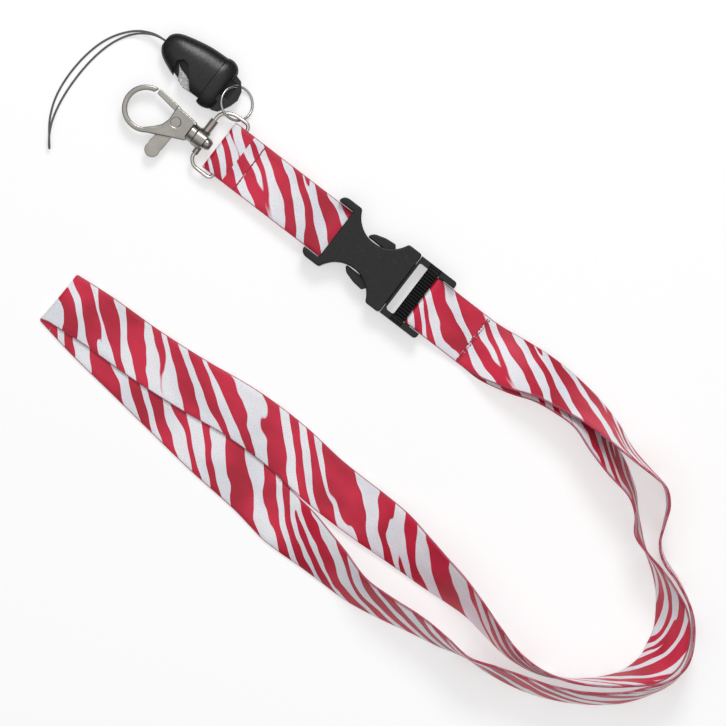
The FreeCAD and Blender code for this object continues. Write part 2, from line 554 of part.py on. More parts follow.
def lever_rivet():
    """The pin that the lever turns on, headed at both faces of the plate."""
    low, high = "mid_height - hook_thick / 2", "mid_height + hook_thick / 2"
    place = ("pivot_x", "pivot_y")
    pin = rod("rivet_pin", "rivet_radius", place, "Z", f"{low} + 0.05", f"{high} - 0.05")
    heads = [rod("rivet_top_head", "rivet_head", place, "Z", f"{high} - 0.4", f"{high} - 0.05"),
             rod("rivet_low_head", "rivet_head", place, "Z", f"{low} + 0.05", f"{low} + 0.4")]
    node(fuse("rivet_whole", pin, *heads), "lever_rivet")


def lever_spring():
    """The small square-wire coil round the rivet that shuts the gate, in the lever's own well."""
    inner, outer = "rivet_radius + 0.25", "rivet_head + 0.1"
    turns = []
    for index in range(2):
        low = f"mid_height + lever_thick / 2 - 0.66 + {index} * 0.32"
        whole = rod(f"spring_turn_{index}", outer, ("pivot_x", "pivot_y"), "Z", low, f"{low} + 0.26")
        hole = rod(f"spring_hole_{index}", inner, ("pivot_x", "pivot_y"), "Z", f"{low} - 1", f"{low} + 1")
        turns.append(cut(f"spring_coil_{index}", whole, hole))
    node(fuse("spring_whole", *turns), "lever_spring")


RING_SLOPE = (-0.36, -0.36)      # rise along X and along Y


def ring_plane():
    """The centre and the normal of the thin ring, tipped so that it links the wire and the cap."""
    centre = FreeCAD.Vector(size("ring_x"), size("ring_y"), size("mid_height - ring_drop"))
    return centre, FreeCAD.Vector(-RING_SLOPE[0], -RING_SLOPE[1], 1).normalize()


def thin_ring():
    centre, normal = ring_plane()
    torus = doc.addObject("Part::Torus", "ring_torus")
    bind(torus, Radius1="ring_radius", Radius2="ring_wire")
    torus.Placement = FreeCAD.Placement(centre, FreeCAD.Rotation(FreeCAD.Vector(0, 0, 1), normal))
    node(torus, "thin_ring")


# ---------------------------------------------------------------- phone cord and its connector

# Ribs of the two shells: steps along X from the joint and across from its axis, then shares of the
# connector's half width and half thickness.
CAP_RIBS = [(0.0, 0.0, 1.0, 1.0), (2.0, 0.0, 1.04, 1.0), (4.4, -0.1, 0.97, 0.85), (6.2, -0.6, 0.785, 0.5)]
BODY_RIBS = [
    (-0.15, 0.1, 0.98, 1.0), (-4.6, 0.1, 0.96, 1.0), (-9.6, 0.3, 0.875, 0.98), (-14.6, 0.6, 0.73, 0.9),
    (-19.1, 0.9, 0.545, 0.72), (-21.8, 1.0, 0.245, 0.42),
]


def at_joint(step, side):
    """A corner that lies step along X from the connector's joint and side across, in shares of its half width."""
    return f"cap_joint_x + {step}", f"connector_y + connector_half * {side}"


def bullet(name, ribs):
    """A smooth shell blank through upright ellipses along X."""
    sections = []
    for index, (step, side, wide, share) in enumerate(ribs):
        rib = doc.addObject("Part::Ellipse", f"{name}_rib_{index}")
        rib.Placement.Rotation = FreeCAD.Rotation(FreeCAD.Vector(1, 1, 1), 120)
        bind(rib, MajorRadius=f"connector_half * {wide}", MinorRadius=f"connector_thick / 2 * {share}",
             place_x=f"cap_joint_x + {step}", place_y=f"connector_y + {side}", place_z="mid_height")
        sections.append(rib)
    loft = doc.addObject("Part::Loft", f"{name}_loft")
    loft.Sections = sections
    loft.Solid = True
    return loft


def connector_cap():
    """The end that stays on the ring: a rounded cap, a slotted tab over a thin web, and a spigot."""
    blank = bullet("cap", CAP_RIBS)
    tab = outline_body("cap_tab", "XY_Plane", [at_joint(step, side) for step, side in (
        (2.4, -0.773), (6.2, -0.918), (8.4, -0.825), (9.8, -0.598), (11.0, -0.351), (11.8, -0.041),
        (11.0, 0.309), (8.6, 0.598), (2.4, 0.784))], "mid_height - tab_thick / 2", "tab_thick")
    slot = box("cap_ring_slot", "cap_joint_x + ring_slot_left", "cap_joint_x + ring_slot_right",
               "connector_y - ring_slot_low", "connector_y + ring_slot_high", "-1", "socket_thick + 1")
    relief = box("cap_ring_relief", "cap_joint_x + ring_slot_left", "cap_joint_x + ring_slot_right",
                 "connector_y - ring_slot_low - 2.6", "connector_y", "mid_height + tab_thick / 2", "socket_thick + 1")
    spigot = rod("cap_spigot", "spigot_radius", ("connector_y", "mid_height"), "X",
                 "cap_joint_x - spigot_length", "cap_joint_x + 1")
    (left, low), (right, high) = at_joint(-1, -0.887), at_joint(1.4, -0.577)
    tongue_pocket = box("cap_tongue_pocket", left, right, low, high,
                        "mid_height - catch_thick / 2 - 0.2", "mid_height + catch_thick / 2 + 0.2")
    web = box("cap_web", "cap_joint_x + web_left", "cap_joint_x + web_right",
              "connector_y - ring_slot_low - web_margin", "connector_y + ring_slot_high + web_margin",
              "web_floor", "web_floor + web_thick")
    slotted = cut("cap_cut", fuse("cap_block", blank, tab, spigot), slot, relief, tongue_pocket)
    node(fuse("cap_whole", slotted, web), "connector_cap")


def connector_body():
    """The pull-off end: a bullet shell with a spigot bore, a side window and the cord's hole."""
    blank = bullet("body", BODY_RIBS)
    bore = rod("body_bore", "spigot_radius + spigot_gap", ("connector_y", "mid_height"), "X",
               "cap_joint_x - spigot_length - 1", "cap_joint_x + 0.4")
    window = outline_body("body_window", "XY_Plane", [at_joint(step, side) for step, side in (
        (-10.5, -1.134), ("window_left", -0.247), ("window_left + 2", -0.041), (-9.8, -0.082), (-7.6, -0.371),
        (-3.6, -0.887), (-2.8, -1.186))],
        "mid_height - catch_thick / 2 - 0.5", "socket_thick")
    (left, low), (right, high) = at_joint(-7.6, -1.134), at_joint(0.4, -0.536)
    guide = box("body_tongue_guide", left, right, low, high,
                "mid_height - catch_thick / 2 - 0.5", "mid_height + catch_thick / 2 + 0.5")
    anchor = rod("body_anchor_room", "anchor_radius + joint_gap", ("cord_y", "mid_height"), "X",
                 "anchor_left - 0.1", "anchor_right + 0.7")
    mouth = rod("body_cord_hole", "cord_hole_radius", ("cord_y", "mid_height"), "X", "anchor_left - 5",
                "anchor_right - 0.8")
    node(cut("body_cut", blank, bore, window, guide, anchor, mouth), "connector_body")


def release_tongue():
    """The grey sprung catch: rooted in the cap, it shows in the body's window."""
    body = outline_body("tongue_blade", "XY_Plane", [at_joint(step, side) for step, side in (
        (1.3, -0.845), (1.3, -0.619), (-5.4, -0.588), (-8.2, -0.454), (-10.8, -0.392), (-12.9, -0.278),
        (-10.6, -0.598), (-9.8, -0.784), (-6.8, -0.897), (-4.0, -0.876))],
        "mid_height - catch_thick / 2", "catch_thick")
    node(body, "release_tongue")


def cord_anchor():
    """The crimp that holds the cord's two ends inside the body."""
    block = rod("anchor_block", "anchor_radius", ("cord_y", "mid_height"), "X", "anchor_left", "anchor_right")
    node(block, "cord_anchor")


# The loop leaves the crimp, runs down to its tight tip and comes back over itself.
CORD_ROUTE = [
    (-99.3, 18.0, 3.95), (-102.9, 18.0, 3.95), (-107.6, 17.5, 2.5), (-112.9, 14.9, 0.6), (-117.4, 10.0, 0.45),
    (-120.7, 3.6, 0.45), (-122.5, -4.6, 0.45), (-122.9, -13.6, 0.45), (-121.8, -22.2, 0.45),
    (-119.0, -29.1, 0.45), (-115.9, -33.5, 0.45), (-113.6, -36.3, 0.45), (-112.1, -38.1, 0.45),
    (-112.1, -38.1, 2.5), (-113.6, -36.3, 2.5), (-115.6, -33.4, 2.1), (-117.9, -28.6, 0.9),
    (-119.6, -20.8, 0.45), (-120.1, -12.2, 0.45), (-119.7, -3.8, 0.45), (-118.1, 4.2, 0.45),
    (-115.4, 10.2, 0.5), (-111.6, 14.6, 1.6), (-107.2, 17.1, 3.8), (-102.9, 18.0, 4.85), (-99.3, 18.0, 4.85),
]


def cord_radii(points):
    """Each arc is as large as its two runs allow."""
    points = [FreeCAD.Vector(*point) for point in points]
    radii = []
    for before, corner, after in zip(points, points[1:], points[2:]):
        turn = (corner - before).getAngle(after - corner)
        shorter = min((corner - before).Length, (after - corner).Length)
        radii.append(0.45 * shorter / math.tan(turn / 2))
    return radii


def phone_cord():
    """The doubled cord, laid from wherever the crimp is."""
    start = CORD_ROUTE[0]
    across, up = size("cord_y") - start[1], MID - (start[2] + CORD_ROUTE[-1][2]) / 2
    route = [(x, y + across, z + (up if z > 2.8 else 0)) for x, y, z in CORD_ROUTE]
    radii = cord_radii(route)
    path = wire_path(route, radii)
    radius = size("cord_radius")
    solid = tube(path, radius)
    print("cord radii", [round(value, 1) for value in radii])
    print("cord length", round(path.Length, 2), "volume ratio",
          round(solid.Volume / (math.pi * radius ** 2 * path.Length), 4))
    feature("phone_cord", solid)


def build():
    webbing()
    buckle_socket()
    buckle_frame()
    latch_arm("left", 1)
    latch_arm("right", -1)
    strap_loop_wire()
    swivel_barrel()
    swivel_stem()
    hook_body()
    hook_lever()
    lever_rivet()
    lever_spring()
    thin_ring()
    connector_cap()
    connector_body()
    release_tongue()
    cord_anchor()
    phone_cord()


build()
doc.recompute()
for obj in doc.Objects:
    if "Invalid" in obj.State or "Error" in obj.State:
        raise RuntimeError("%s did not build: %s" % (obj.Name, obj.State))
os.makedirs("parts", exist_ok=True)
for obj, label in NODES:
    shape = obj.Shape
    if shape.isNull() or not shape.isValid() or shape.Volume <= 0:
        raise RuntimeError("%s has no sound shape" % label)
    shape.exportStep("parts/%s.step" % label)
print("nodes", len(NODES))
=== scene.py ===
import math

import bmesh
import bpy
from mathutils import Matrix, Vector


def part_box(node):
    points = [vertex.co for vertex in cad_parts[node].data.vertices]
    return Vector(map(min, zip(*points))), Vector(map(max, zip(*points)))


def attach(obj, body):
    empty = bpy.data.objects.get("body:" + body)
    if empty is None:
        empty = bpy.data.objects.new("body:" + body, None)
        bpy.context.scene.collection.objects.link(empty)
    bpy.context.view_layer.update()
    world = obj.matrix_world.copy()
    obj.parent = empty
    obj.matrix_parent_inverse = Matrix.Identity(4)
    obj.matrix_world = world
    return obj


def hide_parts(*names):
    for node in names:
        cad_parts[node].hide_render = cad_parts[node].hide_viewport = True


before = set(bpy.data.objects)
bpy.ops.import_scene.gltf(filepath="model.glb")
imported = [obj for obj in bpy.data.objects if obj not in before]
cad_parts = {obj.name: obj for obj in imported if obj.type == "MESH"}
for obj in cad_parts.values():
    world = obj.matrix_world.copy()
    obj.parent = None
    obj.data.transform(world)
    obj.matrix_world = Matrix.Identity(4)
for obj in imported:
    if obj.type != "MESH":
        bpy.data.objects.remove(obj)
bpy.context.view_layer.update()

# A printed 20 mm lanyard lying on a pale table, seen from straight above. Metres, in the CAD's frame.
MM = 0.001
MID = (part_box("buckle_socket")[0].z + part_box("buckle_socket")[1].z) / 2
STRAP_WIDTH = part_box("tail_strap")[1].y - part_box("tail_strap")[0].y
STRAP_THICK = 0.9 * MM
LAYER_GAP = 0.06 * MM
AIM = Vector((0.02, -0.03, 0))  # the middle of the lay, which the lamps face
WELD = 0.002 * MM  # CAD mesh corners nearer than this are one corner
FLAT = math.radians(1.0)  # faces that meet at less than this are one face


def linked(name, data):
    """A new object in the scene."""
    made = bpy.data.objects.new(name, data)
    bpy.context.collection.objects.link(made)
    return made


# ---------------------------------------------------------------- camera, floor and light

def camera():
    """Straight down with a long lens; the row of hardware runs 37.5 degrees below the picture's level."""
    turn = math.radians(37.5)
    field = 0.2614
    height = 1.4
    data = bpy.data.cameras.new("camera")
    data.sensor_width = 36
    data.lens = data.sensor_width * height / field
    data.clip_start, data.clip_end = 0.05, 20
    eye = linked("camera", data)
    eye.location = (0.0244, -0.0307, height)
    eye.rotation_euler = (0, 0, turn)
    bpy.context.scene.camera = eye


def area_light(name, place, size, power):
    """A white disk lamp that faces the middle of the lay."""
    data = bpy.data.lights.new(name, "AREA")
    data.shape, data.size, data.energy = "DISK", size, power
    lamp = linked(name, data)
    lamp.location = place
    lamp.rotation_euler = (AIM - Vector(place)).to_track_quat("-Z", "Y").to_euler()


def studio():
    """A pale table, a sky that brightens overhead, a broad lamp above and a smaller key to one side."""
    world = bpy.data.worlds.new("studio")
    world.use_nodes = True
    sky = world.node_tree.nodes["Background"]
    nodes, links = world.node_tree.nodes, world.node_tree.links
    direction = nodes.new("ShaderNodeTexCoord").outputs["Generated"]
    parts = nodes.new("ShaderNodeSeparateXYZ")
    links.new(direction, parts.inputs[0])
    rise = nodes.new("ShaderNodeMapRange")
    rise.inputs["From Min"].default_value, rise.inputs["From Max"].default_value = 0.15, 0.75
    rise.inputs["To Min"].default_value, rise.inputs["To Max"].default_value = 0.02, 0.48
    links.new(parts.outputs["Z"], rise.inputs["Value"])
    links.new(rise.outputs[0], sky.inputs["Strength"])
    sky.inputs["Color"].default_value = (1, 1, 1, 1)
    bpy.context.scene.world = world
    bpy.context.scene.view_settings.view_transform = "Standard"
    area_light("overhead", (0.02, -0.03, 1.6), 2.4, 9.6)
    area_light("key", (-0.35, 0.75, 0.95), 0.45, 7.0)
    mesh = bpy.data.meshes.new("table_top")
    edge = 3.0
    corners = [(-edge, -edge, 0), (edge, -edge, 0), (edge, edge, 0), (-edge, edge, 0)]
    mesh.from_pydata(corners, [], [(0, 1, 2, 3)])
    table = linked("table_top", mesh)
    table.location.z = -0.02 * MM
    paint = bpy.data.materials.new("table_paint")
    paint.use_nodes = True
    shader = paint.node_tree.nodes["Principled BSDF"]
    shader.inputs["Base Color"].default_value = (0.50, 0.50, 0.50, 1)
    shader.inputs["Roughness"].default_value = 0.9
    shader.inputs["Specular IOR Level"].default_value = 0.1
    shader.inputs["Emission Color"].default_value = (1, 1, 1, 1)
    shader.inputs["Emission Strength"].default_value = 0.52
    mesh.materials.append(paint)


# ---------------------------------------------------------------- material helpers

class Nodes:
    """Short calls for building one material's node tree."""

    def __init__(self, name):
        self.material = bpy.data.materials.new(name)
        self.material.use_nodes = True
        self.tree = self.material.node_tree
        self.shader = self.tree.nodes["Principled BSDF"]

    def put(self, socket, value):
        if isinstance(value, bpy.types.NodeSocket):
            self.tree.links.new(value, socket)
        else:
            socket.default_value = value

    def math(self, operation, first, second=0.0):
        made = self.tree.nodes.new("ShaderNodeMath")
        made.operation = operation
        self.put(made.inputs[0], first)
        self.put(made.inputs[1], second)
        return made.outputs[0]

    def plus(self, first, second):
        return self.math("ADD", first, second)

    def times(self, first, second):
        return self.math("MULTIPLY", first, second)

    def minus(self, first, second):
        return self.math("SUBTRACT", first, second)

    def vector(self, x, y, z=0.0):
        made = self.tree.nodes.new("ShaderNodeCombineXYZ")
        for socket, value in zip(made.inputs, (x, y, z)):
            self.put(socket, value)
        return made.outputs[0]

    def split(self, socket):
        made = self.tree.nodes.new("ShaderNodeSeparateXYZ")
        self.put(made.inputs[0], socket)
        return made.outputs

    def coordinate(self, name):
        return self.tree.nodes.new("ShaderNodeTexCoord").outputs[name]

    def noise(self, vector, scale, detail=2.0, rough=0.5):
        made = self.tree.nodes.new("ShaderNodeTexNoise")
        self.put(made.inputs["Vector"], vector)
        made.inputs["Scale"].default_value = scale
        made.inputs["Detail"].default_value = detail
        made.inputs["Roughness"].default_value = rough
        return made.outputs[0]

    def smooth(self, value, low, high):
        """0 below low, 1 above high, eased between."""
        made = self.tree.nodes.new("ShaderNodeMapRange")
        made.interpolation_type = "SMOOTHSTEP"
        self.put(made.inputs["Value"], value)
        made.inputs["From Min"].default_value = low
        made.inputs["From Max"].default_value = high
        return made.outputs[0]

    def mix(self, share, first, second, blend="MIX"):
        made = self.tree.nodes.new("ShaderNodeMix")
        made.data_type, made.blend_type = "RGBA", blend
        self.put(made.inputs[0], share)
        self.put(made.inputs[6], first)
        self.put(made.inputs[7], second)
        return made.outputs[2]

    def bump(self, height, distance, strength=1.0):
        made = self.tree.nodes.new("ShaderNodeBump")
        self.put(made.inputs["Height"], height)
        made.inputs["Distance"].default_value = distance
        made.inputs["Strength"].default_value = strength
        self.put(self.shader.inputs["Normal"], made.outputs[0])

    def set(self, **values):
        """Fill the shader's sockets: base_color is Base Color, and so on."""
        for name, value in values.items():
            self.put(self.shader.inputs[name.replace("_", " ").title()], value)


def grey(level):
    return (level, level, level, 1)


def zebra_webbing():
    """Crimson zebra stripes printed on white webbing. UV x runs along the strap and y across it, in metres."""
    n = Nodes("zebra_webbing")
    along, across, _ = n.split(n.coordinate("UV"))
    lean = math.radians(37)
    crossing = n.minus(n.times(along, math.sin(lean)), n.times(across, math.cos(lean)))
    lengthwise = n.plus(n.times(along, math.cos(lean)), n.times(across, math.sin(lean)))

    def field(cross_scale, length_scale, layer, detail=0.0):
        """Noise drawn out along the stripes, -0.5 to 0.5; each layer is a different field."""
        place = n.vector(n.times(crossing, cross_scale), n.times(lengthwise, length_scale), layer)
        return n.minus(n.noise(place, 1.0, detail), 0.5)

    def ripple(distance, pitch):
        return n.math("SINE", n.times(distance, 2 * math.pi / pitch))

    # The stripes are a sine wave whose phase wanders; a faster wave forks them in places.
    stripe_pitch, wander, waver = 8.2 * MM, 13.0, 2.7
    phase = n.times(crossing, 2 * math.pi / stripe_pitch)
    phase = n.plus(phase, n.times(field(48.0, 17.0, 0.0), wander))
    phase = n.plus(phase, n.times(field(150.0, 75.0, 4.0, 1.0), waver))
    fork_pitch_share, fork_shift, fork_depth, swelling = 1.5, 1.2, 1.1, 2.6
    wave = n.math("SINE", phase)
    fork = n.math("SINE", n.plus(n.times(phase, fork_pitch_share), fork_shift))
    fork_share = n.smooth(field(52.0, 20.0, 3.7), -0.05, 0.10)
    shape = n.plus(wave, n.times(n.times(fork, fork_share), fork_depth))
    shape = n.plus(shape, n.times(field(75.0, 36.0, 8.0), swelling))
    red = n.smooth(shape, -0.19, -0.13)
    fringe = n.times(n.smooth(shape, -0.25, -0.17), n.minus(1.0, red))

    weave = n.times(ripple(along, 0.62 * MM), ripple(across, 0.85 * MM))
    twill = ripple(n.plus(along, n.times(across, 1.6)), 1.3 * MM)
    weave = n.plus(weave, n.times(twill, 0.45))
    grain = n.noise(n.vector(n.times(along, 2400.0), n.times(across, 1500.0)), 1.0, 2.0)
    cloud = n.noise(n.vector(n.times(along, 45.0), n.times(across, 60.0), 9.0), 1.0, 2.0)

    # The crimson's darker and lighter patches vary at random and also stand in for the satin's sheen, so they are
    # partly painted sheen.
    crimson = n.mix(n.smooth(cloud, 0.3, 0.7), (0.40, 0.006, 0.028, 1), (0.64, 0.017, 0.058, 1))
    lilac = n.mix(n.smooth(cloud, 0.35, 0.65), (0.72, 0.72, 0.78, 1), (0.85, 0.85, 0.89, 1))
    colour = n.mix(n.times(fringe, 0.55), lilac, (0.72, 0.26, 0.36, 1))
    colour = n.mix(red, colour, crimson)
    shade = n.plus(0.80, n.times(n.plus(grain, n.times(weave, 0.12)), 0.38))
    colour = n.mix(1.0, colour, n.vector(shade, shade, shade), "MULTIPLY")
    half = STRAP_WIDTH / 2
    selvedge = n.smooth(n.math("ABSOLUTE", across), half - 0.5 * MM, half - 0.2 * MM)
    selvedge_red = n.mix(grain, (0.26, 0.012, 0.035, 1), (0.52, 0.10, 0.16, 1))
    n.set(base_color=n.mix(n.times(selvedge, 0.82), colour, selvedge_red))
    n.set(roughness=n.plus(0.32, n.times(grain, 0.25)))
    n.shader.inputs["Specular IOR Level"].default_value = 0.32
    n.bump(n.plus(n.times(weave, 0.5), grain), 0.06 * MM, 0.55)
    return n.material


def thread_material(name, pale_from):
    """Crimson thread with paler stretches where the twist catches the light."""
    n = Nodes(name)
    place = n.coordinate("Object")
    twist = n.noise(place, 5200.0, 2.0)
    pale = n.smooth(n.noise(place, 420.0), pale_from, pale_from + 0.1)
    n.set(base_color=n.mix(pale, (0.34, 0.015, 0.035, 1), (0.72, 0.45, 0.50, 1)))
    n.set(roughness=0.6)
    n.shader.inputs["Sheen Weight"].default_value = 0.2
    n.bump(twist, 0.05 * MM)
    return n.material


def moulded_plastic(name, level, grain_scale, grain_depth, rough, ribs=None):
    """Moulded plastic: pebbled grain with painted highlight specks on the grain's peaks, and faint flow marks.

    ribs, if any, is the x where a ribbed stretch starts, the x where it ends and the ribs' pitch along y; there the
    grooves are painted dark as shade and the crests painted light as highlight.
    """
    n = Nodes(name)
    place = n.coordinate("Object")
    grain = n.noise(place, grain_scale, 3.0, 0.6)
    flow = n.noise(place, 95.0, 2.0)
    colour = n.mix(flow, grey(level * 0.8), grey(level * 1.25))
    # Painted highlight: the grain's peaks are painted lighter, as specks of glint.
    colour = n.mix(n.times(n.smooth(grain, 0.52, 0.72), 0.5), colour, grey(level * 4.0 + 0.008))
    height = grain
    if ribs:
        left, right, rib_pitch = ribs
        margin = 0.2 * MM
        x, y, _ = n.split(place)
        inside = n.times(n.smooth(x, left - margin, left), n.minus(1.0, n.smooth(x, right, right + margin)))
        wave = n.math("SINE", n.times(y, 2 * math.pi / rib_pitch))
        # Painted shade in the grooves between the ribs and painted highlight on their crests, put into the base
        # colour.
        rib_painted_shade_and_highlight = n.mix(n.smooth(wave, -0.3, 0.6), grey(0.002), grey(level * 3.0 + 0.01))
        colour = n.mix(inside, colour, rib_painted_shade_and_highlight)
        height = n.plus(grain, n.times(n.times(wave, inside), 4.0))
    n.set(base_color=colour)
    n.set(roughness=n.plus(rough, n.times(n.minus(grain, 0.5), 0.3)))
    n.shader.inputs["Specular IOR Level"].default_value = 0.33
    n.bump(height, grain_depth, 0.9)
    return n.material


def nickel(name, tint, rough):
    """Satin nickel plate with fine polishing lines, slight clouding and darker handling marks."""
    n = Nodes(name)
    place = n.coordinate("Object")
    x, y, z = n.split(place)
    lines = n.noise(n.vector(n.times(x, 250.0), n.times(y, 2600.0), z), 1.0, 2.0)
    cloud = n.noise(place, 160.0, 3.0)
    low = tuple(0.80 * c for c in tint) + (1,)
    n.set(base_color=n.mix(n.smooth(cloud, 0.3, 0.75), low, tint + (1,)))
    n.set(roughness=n.plus(rough, n.times(n.minus(cloud, 0.45), 0.35)))
    n.shader.inputs["Metallic"].default_value = 1.0
    n.bump(lines, 0.012 * MM, 0.5)
    return n.material


def cord_material():
    """Dark braid with paler strands."""
    n = Nodes("braided_cord")
    place = n.coordinate("Object")
    plait = n.noise(place, 2600.0, 2.0)
    n.set(base_color=n.mix(plait, (0.030, 0.030, 0.033, 1), (0.13, 0.13, 0.14, 1)))
    n.set(roughness=0.62)
    n.shader.inputs["Sheen Weight"].default_value = 0.3
    n.bump(plait, 0.05 * MM)
    return n.material


# ---------------------------------------------------------------- webbing as swept sheets

def frames(stations):
    """Centre, width direction and upward normal at each station: x, y, lowest z (mm) and lean (degrees)."""
    found = []
    for index, (x, y, low, lean) in enumerate(stations):
        after, before = stations[min(index + 1, len(stations) - 1)], stations[max(index - 1, 0)]
        ahead = Vector((after[0] - before[0], after[1] - before[1], 0)).normalized()
        right = Vector((ahead.y, -ahead.x, 0))
        angle = math.radians(lean)
        across = right * math.cos(angle) + Vector((0, 0, math.sin(angle)))
        normal = Vector((0, 0, math.cos(angle))) - right * math.sin(angle)
        rise = (STRAP_WIDTH * math.sin(angle) + STRAP_THICK * abs(math.cos(angle))) / 2
        found.append((Vector((x * MM, y * MM, low * MM + rise)), across, normal))
    return found


def turned(frame_list):
    """The same frames met from the other end, so that the far face becomes the near one."""
    return [(centre, across, -normal) for centre, across, normal in reversed(frame_list)]


def arc_frames(centre_x, radius, start, end, across):
    """Frames round a bar along Y at mid height; angles in degrees from +X, the normal pointing outward."""
    made, spans = [], 8
    for index in range(spans + 1):
        angle = math.radians(start + (end - start) * index / spans)
        outward = Vector((math.cos(angle), 0, math.sin(angle)))
        made.append((Vector((centre_x, 0, MID)) + outward * radius, across.copy(), outward))
    return made


def resample(frame_list, spacing):
    """Frames every spacing or so along a smooth closed curve through the given ones, and the length at each."""
    count = len(frame_list)
    gaps = [(frame_list[(i + 1) % count][0] - frame_list[i][0]).length for i in range(count)]

    def slope(index, part):
        before, after = (index - 1) % count, (index + 1) % count
        return (frame_list[after][part] - frame_list[before][part]) / (gaps[before] + gaps[index % count])

    made = []
    for index in range(count):
        following = (index + 1) % count
        steps = max(2, math.ceil(gaps[index] / spacing))
        for step in range(steps):
            t = step / steps
            weights = (2 * t ** 3 - 3 * t ** 2 + 1, t ** 3 - 2 * t ** 2 + t, 3 * t ** 2 - 2 * t ** 3, t ** 3 - t ** 2)
            parts = []
            for part in range(3):
                parts.append(frame_list[index][part] * weights[0] + slope(index, part) * gaps[index] * weights[1]
                             + frame_list[following][part] * weights[2]
                             + slope(following, part) * gaps[index] * weights[3])
            made.append(parts)
    lengths = [0.0]
    for before, after in zip(made, made[1:] + made[:1]):
        lengths.append(lengths[-1] + (after[0] - before[0]).length)
    squared = []
    for centre, across, normal in made:
        across = across.normalized()
        squared.append((centre, across, (normal - across * normal.dot(across)).normalized()))
    return squared, lengths


def webbing(name, frame_list):
    """A closed loop of webbing: both faces, rounded selvedges, and UVs in metres on each face."""
    rows, lengths = resample(frame_list, 1.6 * MM)
    columns, flank, shoulder = 12, 0.25 * MM, 0.07 * MM
    print_shift = 0.047  # the reverse's print starts this far along from the face's
    half_width, half_thick = STRAP_WIDTH / 2, STRAP_THICK / 2
    profile = []
    for column in range(columns + 1):
        profile.append((-half_width + flank + (STRAP_WIDTH - 2 * flank) * column / columns, half_thick))
    edge = [(half_width - shoulder, half_thick * 0.75), (half_width, 0.0), (half_width - shoulder, -half_thick * 0.75)]
    ring = profile + edge + [(offset, -z) for offset, z in reversed(profile)] + [(-x, -z) for x, z in edge]
    mesh = bpy.data.meshes.new(name)
    build = bmesh.new()
    uv = build.loops.layers.uv.new("UVMap")
    grid = []
    for centre, across, normal in rows:
        grid.append([build.verts.new(centre + across * x + normal * z) for x, z in ring])
    for row in range(len(rows)):
        here, there = grid[row], grid[(row + 1) % len(rows)]
        start, end = lengths[row], lengths[row + 1]
        for index in range(len(ring)):
            after = (index + 1) % len(ring)
            face = build.faces.new((here[index], here[after], there[after], there[index]))
            face.smooth = True
            top = ring[index][1] + ring[after][1] >= 0
            corners = ((index, start), (after, start), (after, end), (index, end))
            for loop, (corner, length) in zip(face.loops, corners):
                side = ring[corner][0] if top else -ring[corner][0]
                loop[uv].uv = (length + (0 if top else print_shift), side)
    bmesh.ops.recalc_face_normals(build, faces=build.faces)
    build.to_mesh(mesh)
    build.free()
    return linked(name, mesh), lengths[-1]


# The neck loop's two strands, as the CAD has them: x, y, lowest z (mm) and lean (degrees).
OUTER_STRAND = [
    (50.3, 0.0, 1.10, 0), (53.5, 0.0, 1.2, 0), (60, 0.7, 1.5, 10), (70, 2.85, 1.8, 26), (80, 4.9, 1.7, 41),
    (90, 5.5, 1.1, 50), (100, 5.5, 0.3, 60), (110, 4.3, 0.1, 69), (120, 2.2, 0.1, 80),
    (130, 1.1, 0.05, 86), (137, 0.0, 0.05, 88), (142, -4.5, 0.05, 88), (145, -11, 0.05, 86),
    (147.8, -17, 0.05, 85), (152.5, -21.0, 0.05, 85), (161.2, -24.0, 0.05, 86),
    (170.8, -29.1, 0.05, 87), (177.5, -36.2, 0.05, 87), (181.7, -44.9, 0.05, 86), (181.6, -52.5, 0.05, 82),
    (177.9, -60, 0.05, 78), (170.5, -69.5, 0.05, 75), (160, -77.6, 0.05, 74), (148.5, -83.6, 0.05, 73),
    (139, -86.8, 0.05, 73), (128, -89.6, 0.05, 78), (118, -91.5, 0.05, 86),
    (108, -92.4, 0.05, 76), (97, -93.3, 0.05, 68), (84, -95.3, 0.05, 62), (72, -96.5, 0.05, 56),
    (60, -95.1, 0.05, 43), (50, -94.0, 0.05, 30), (42, -93.4, 0.05, 14), (35, -93.1, 0.05, 3),
    (30, -92.3, 0.05, 0), (20, -90.8, 0.05, 0), (0, -89.3, 0.05, 0), (-20, -87.0, 0.05, 0), (-40, -84.6, 0.05, 0),
    (-60, -82.2, 0.05, 0), (-75.2, -79.6, 0.05, 0),
]
INNER_STRAND = [
    (50.3, 0.0, 0.14, 0), (53.5, 0.0, 0.12, 0), (60, -0.2, 0.1, 5), (70, 1.6, 0.05, 18), (80, 3.7, 0.05, 35),
    (90, 3.9, 0.05, 45.5), (100, 2.7, 0.05, 53), (110, -1.9, 0.05, 61), (120, -5.4, 0.05, 67),
    (129, -9.0, 0.05, 79), (134.5, -13.6, 0.05, 84), (139.5, -19.0, 0.05, 80), (146, -22.6, 0.05, 88),
    (152.5, -25.2, 0.05, 96), (159.5, -29.0, 0.05, 106), (166.3, -34.2, 0.05, 120),
    (171.2, -40.5, 0.05, 127), (173.4, -48.0, 0.05, 130), (172.3, -55.5, 0.05, 118),
    (167.6, -63.0, 0.05, 102), (160.8, -69.8, 0.05, 94), (151.5, -76.1, 0.05, 88),
    (141, -80.0, 0.05, 82), (130, -80.6, 0.05, 77), (120, -78.7, 0.05, 72),
    (110, -76.4, 0.05, 66), (100, -75.1, 0.05, 55), (90, -74.5, 0.3, 45), (80, -73.7, 0.6, 34),
    (70, -73.0, 0.8, 19), (60, -73.1, 1.0, 6), (40, -73.0, 1.15, 0), (20, -71.2, 1.15, 0),
    (0, -71.6, 1.15, 0), (-20, -74.2, 1.15, 0), (-40, -75.9, 1.15, 0), (-60, -76.6, 1.15, 0),
    (-75.2, -77.9, 1.15, 0),
]


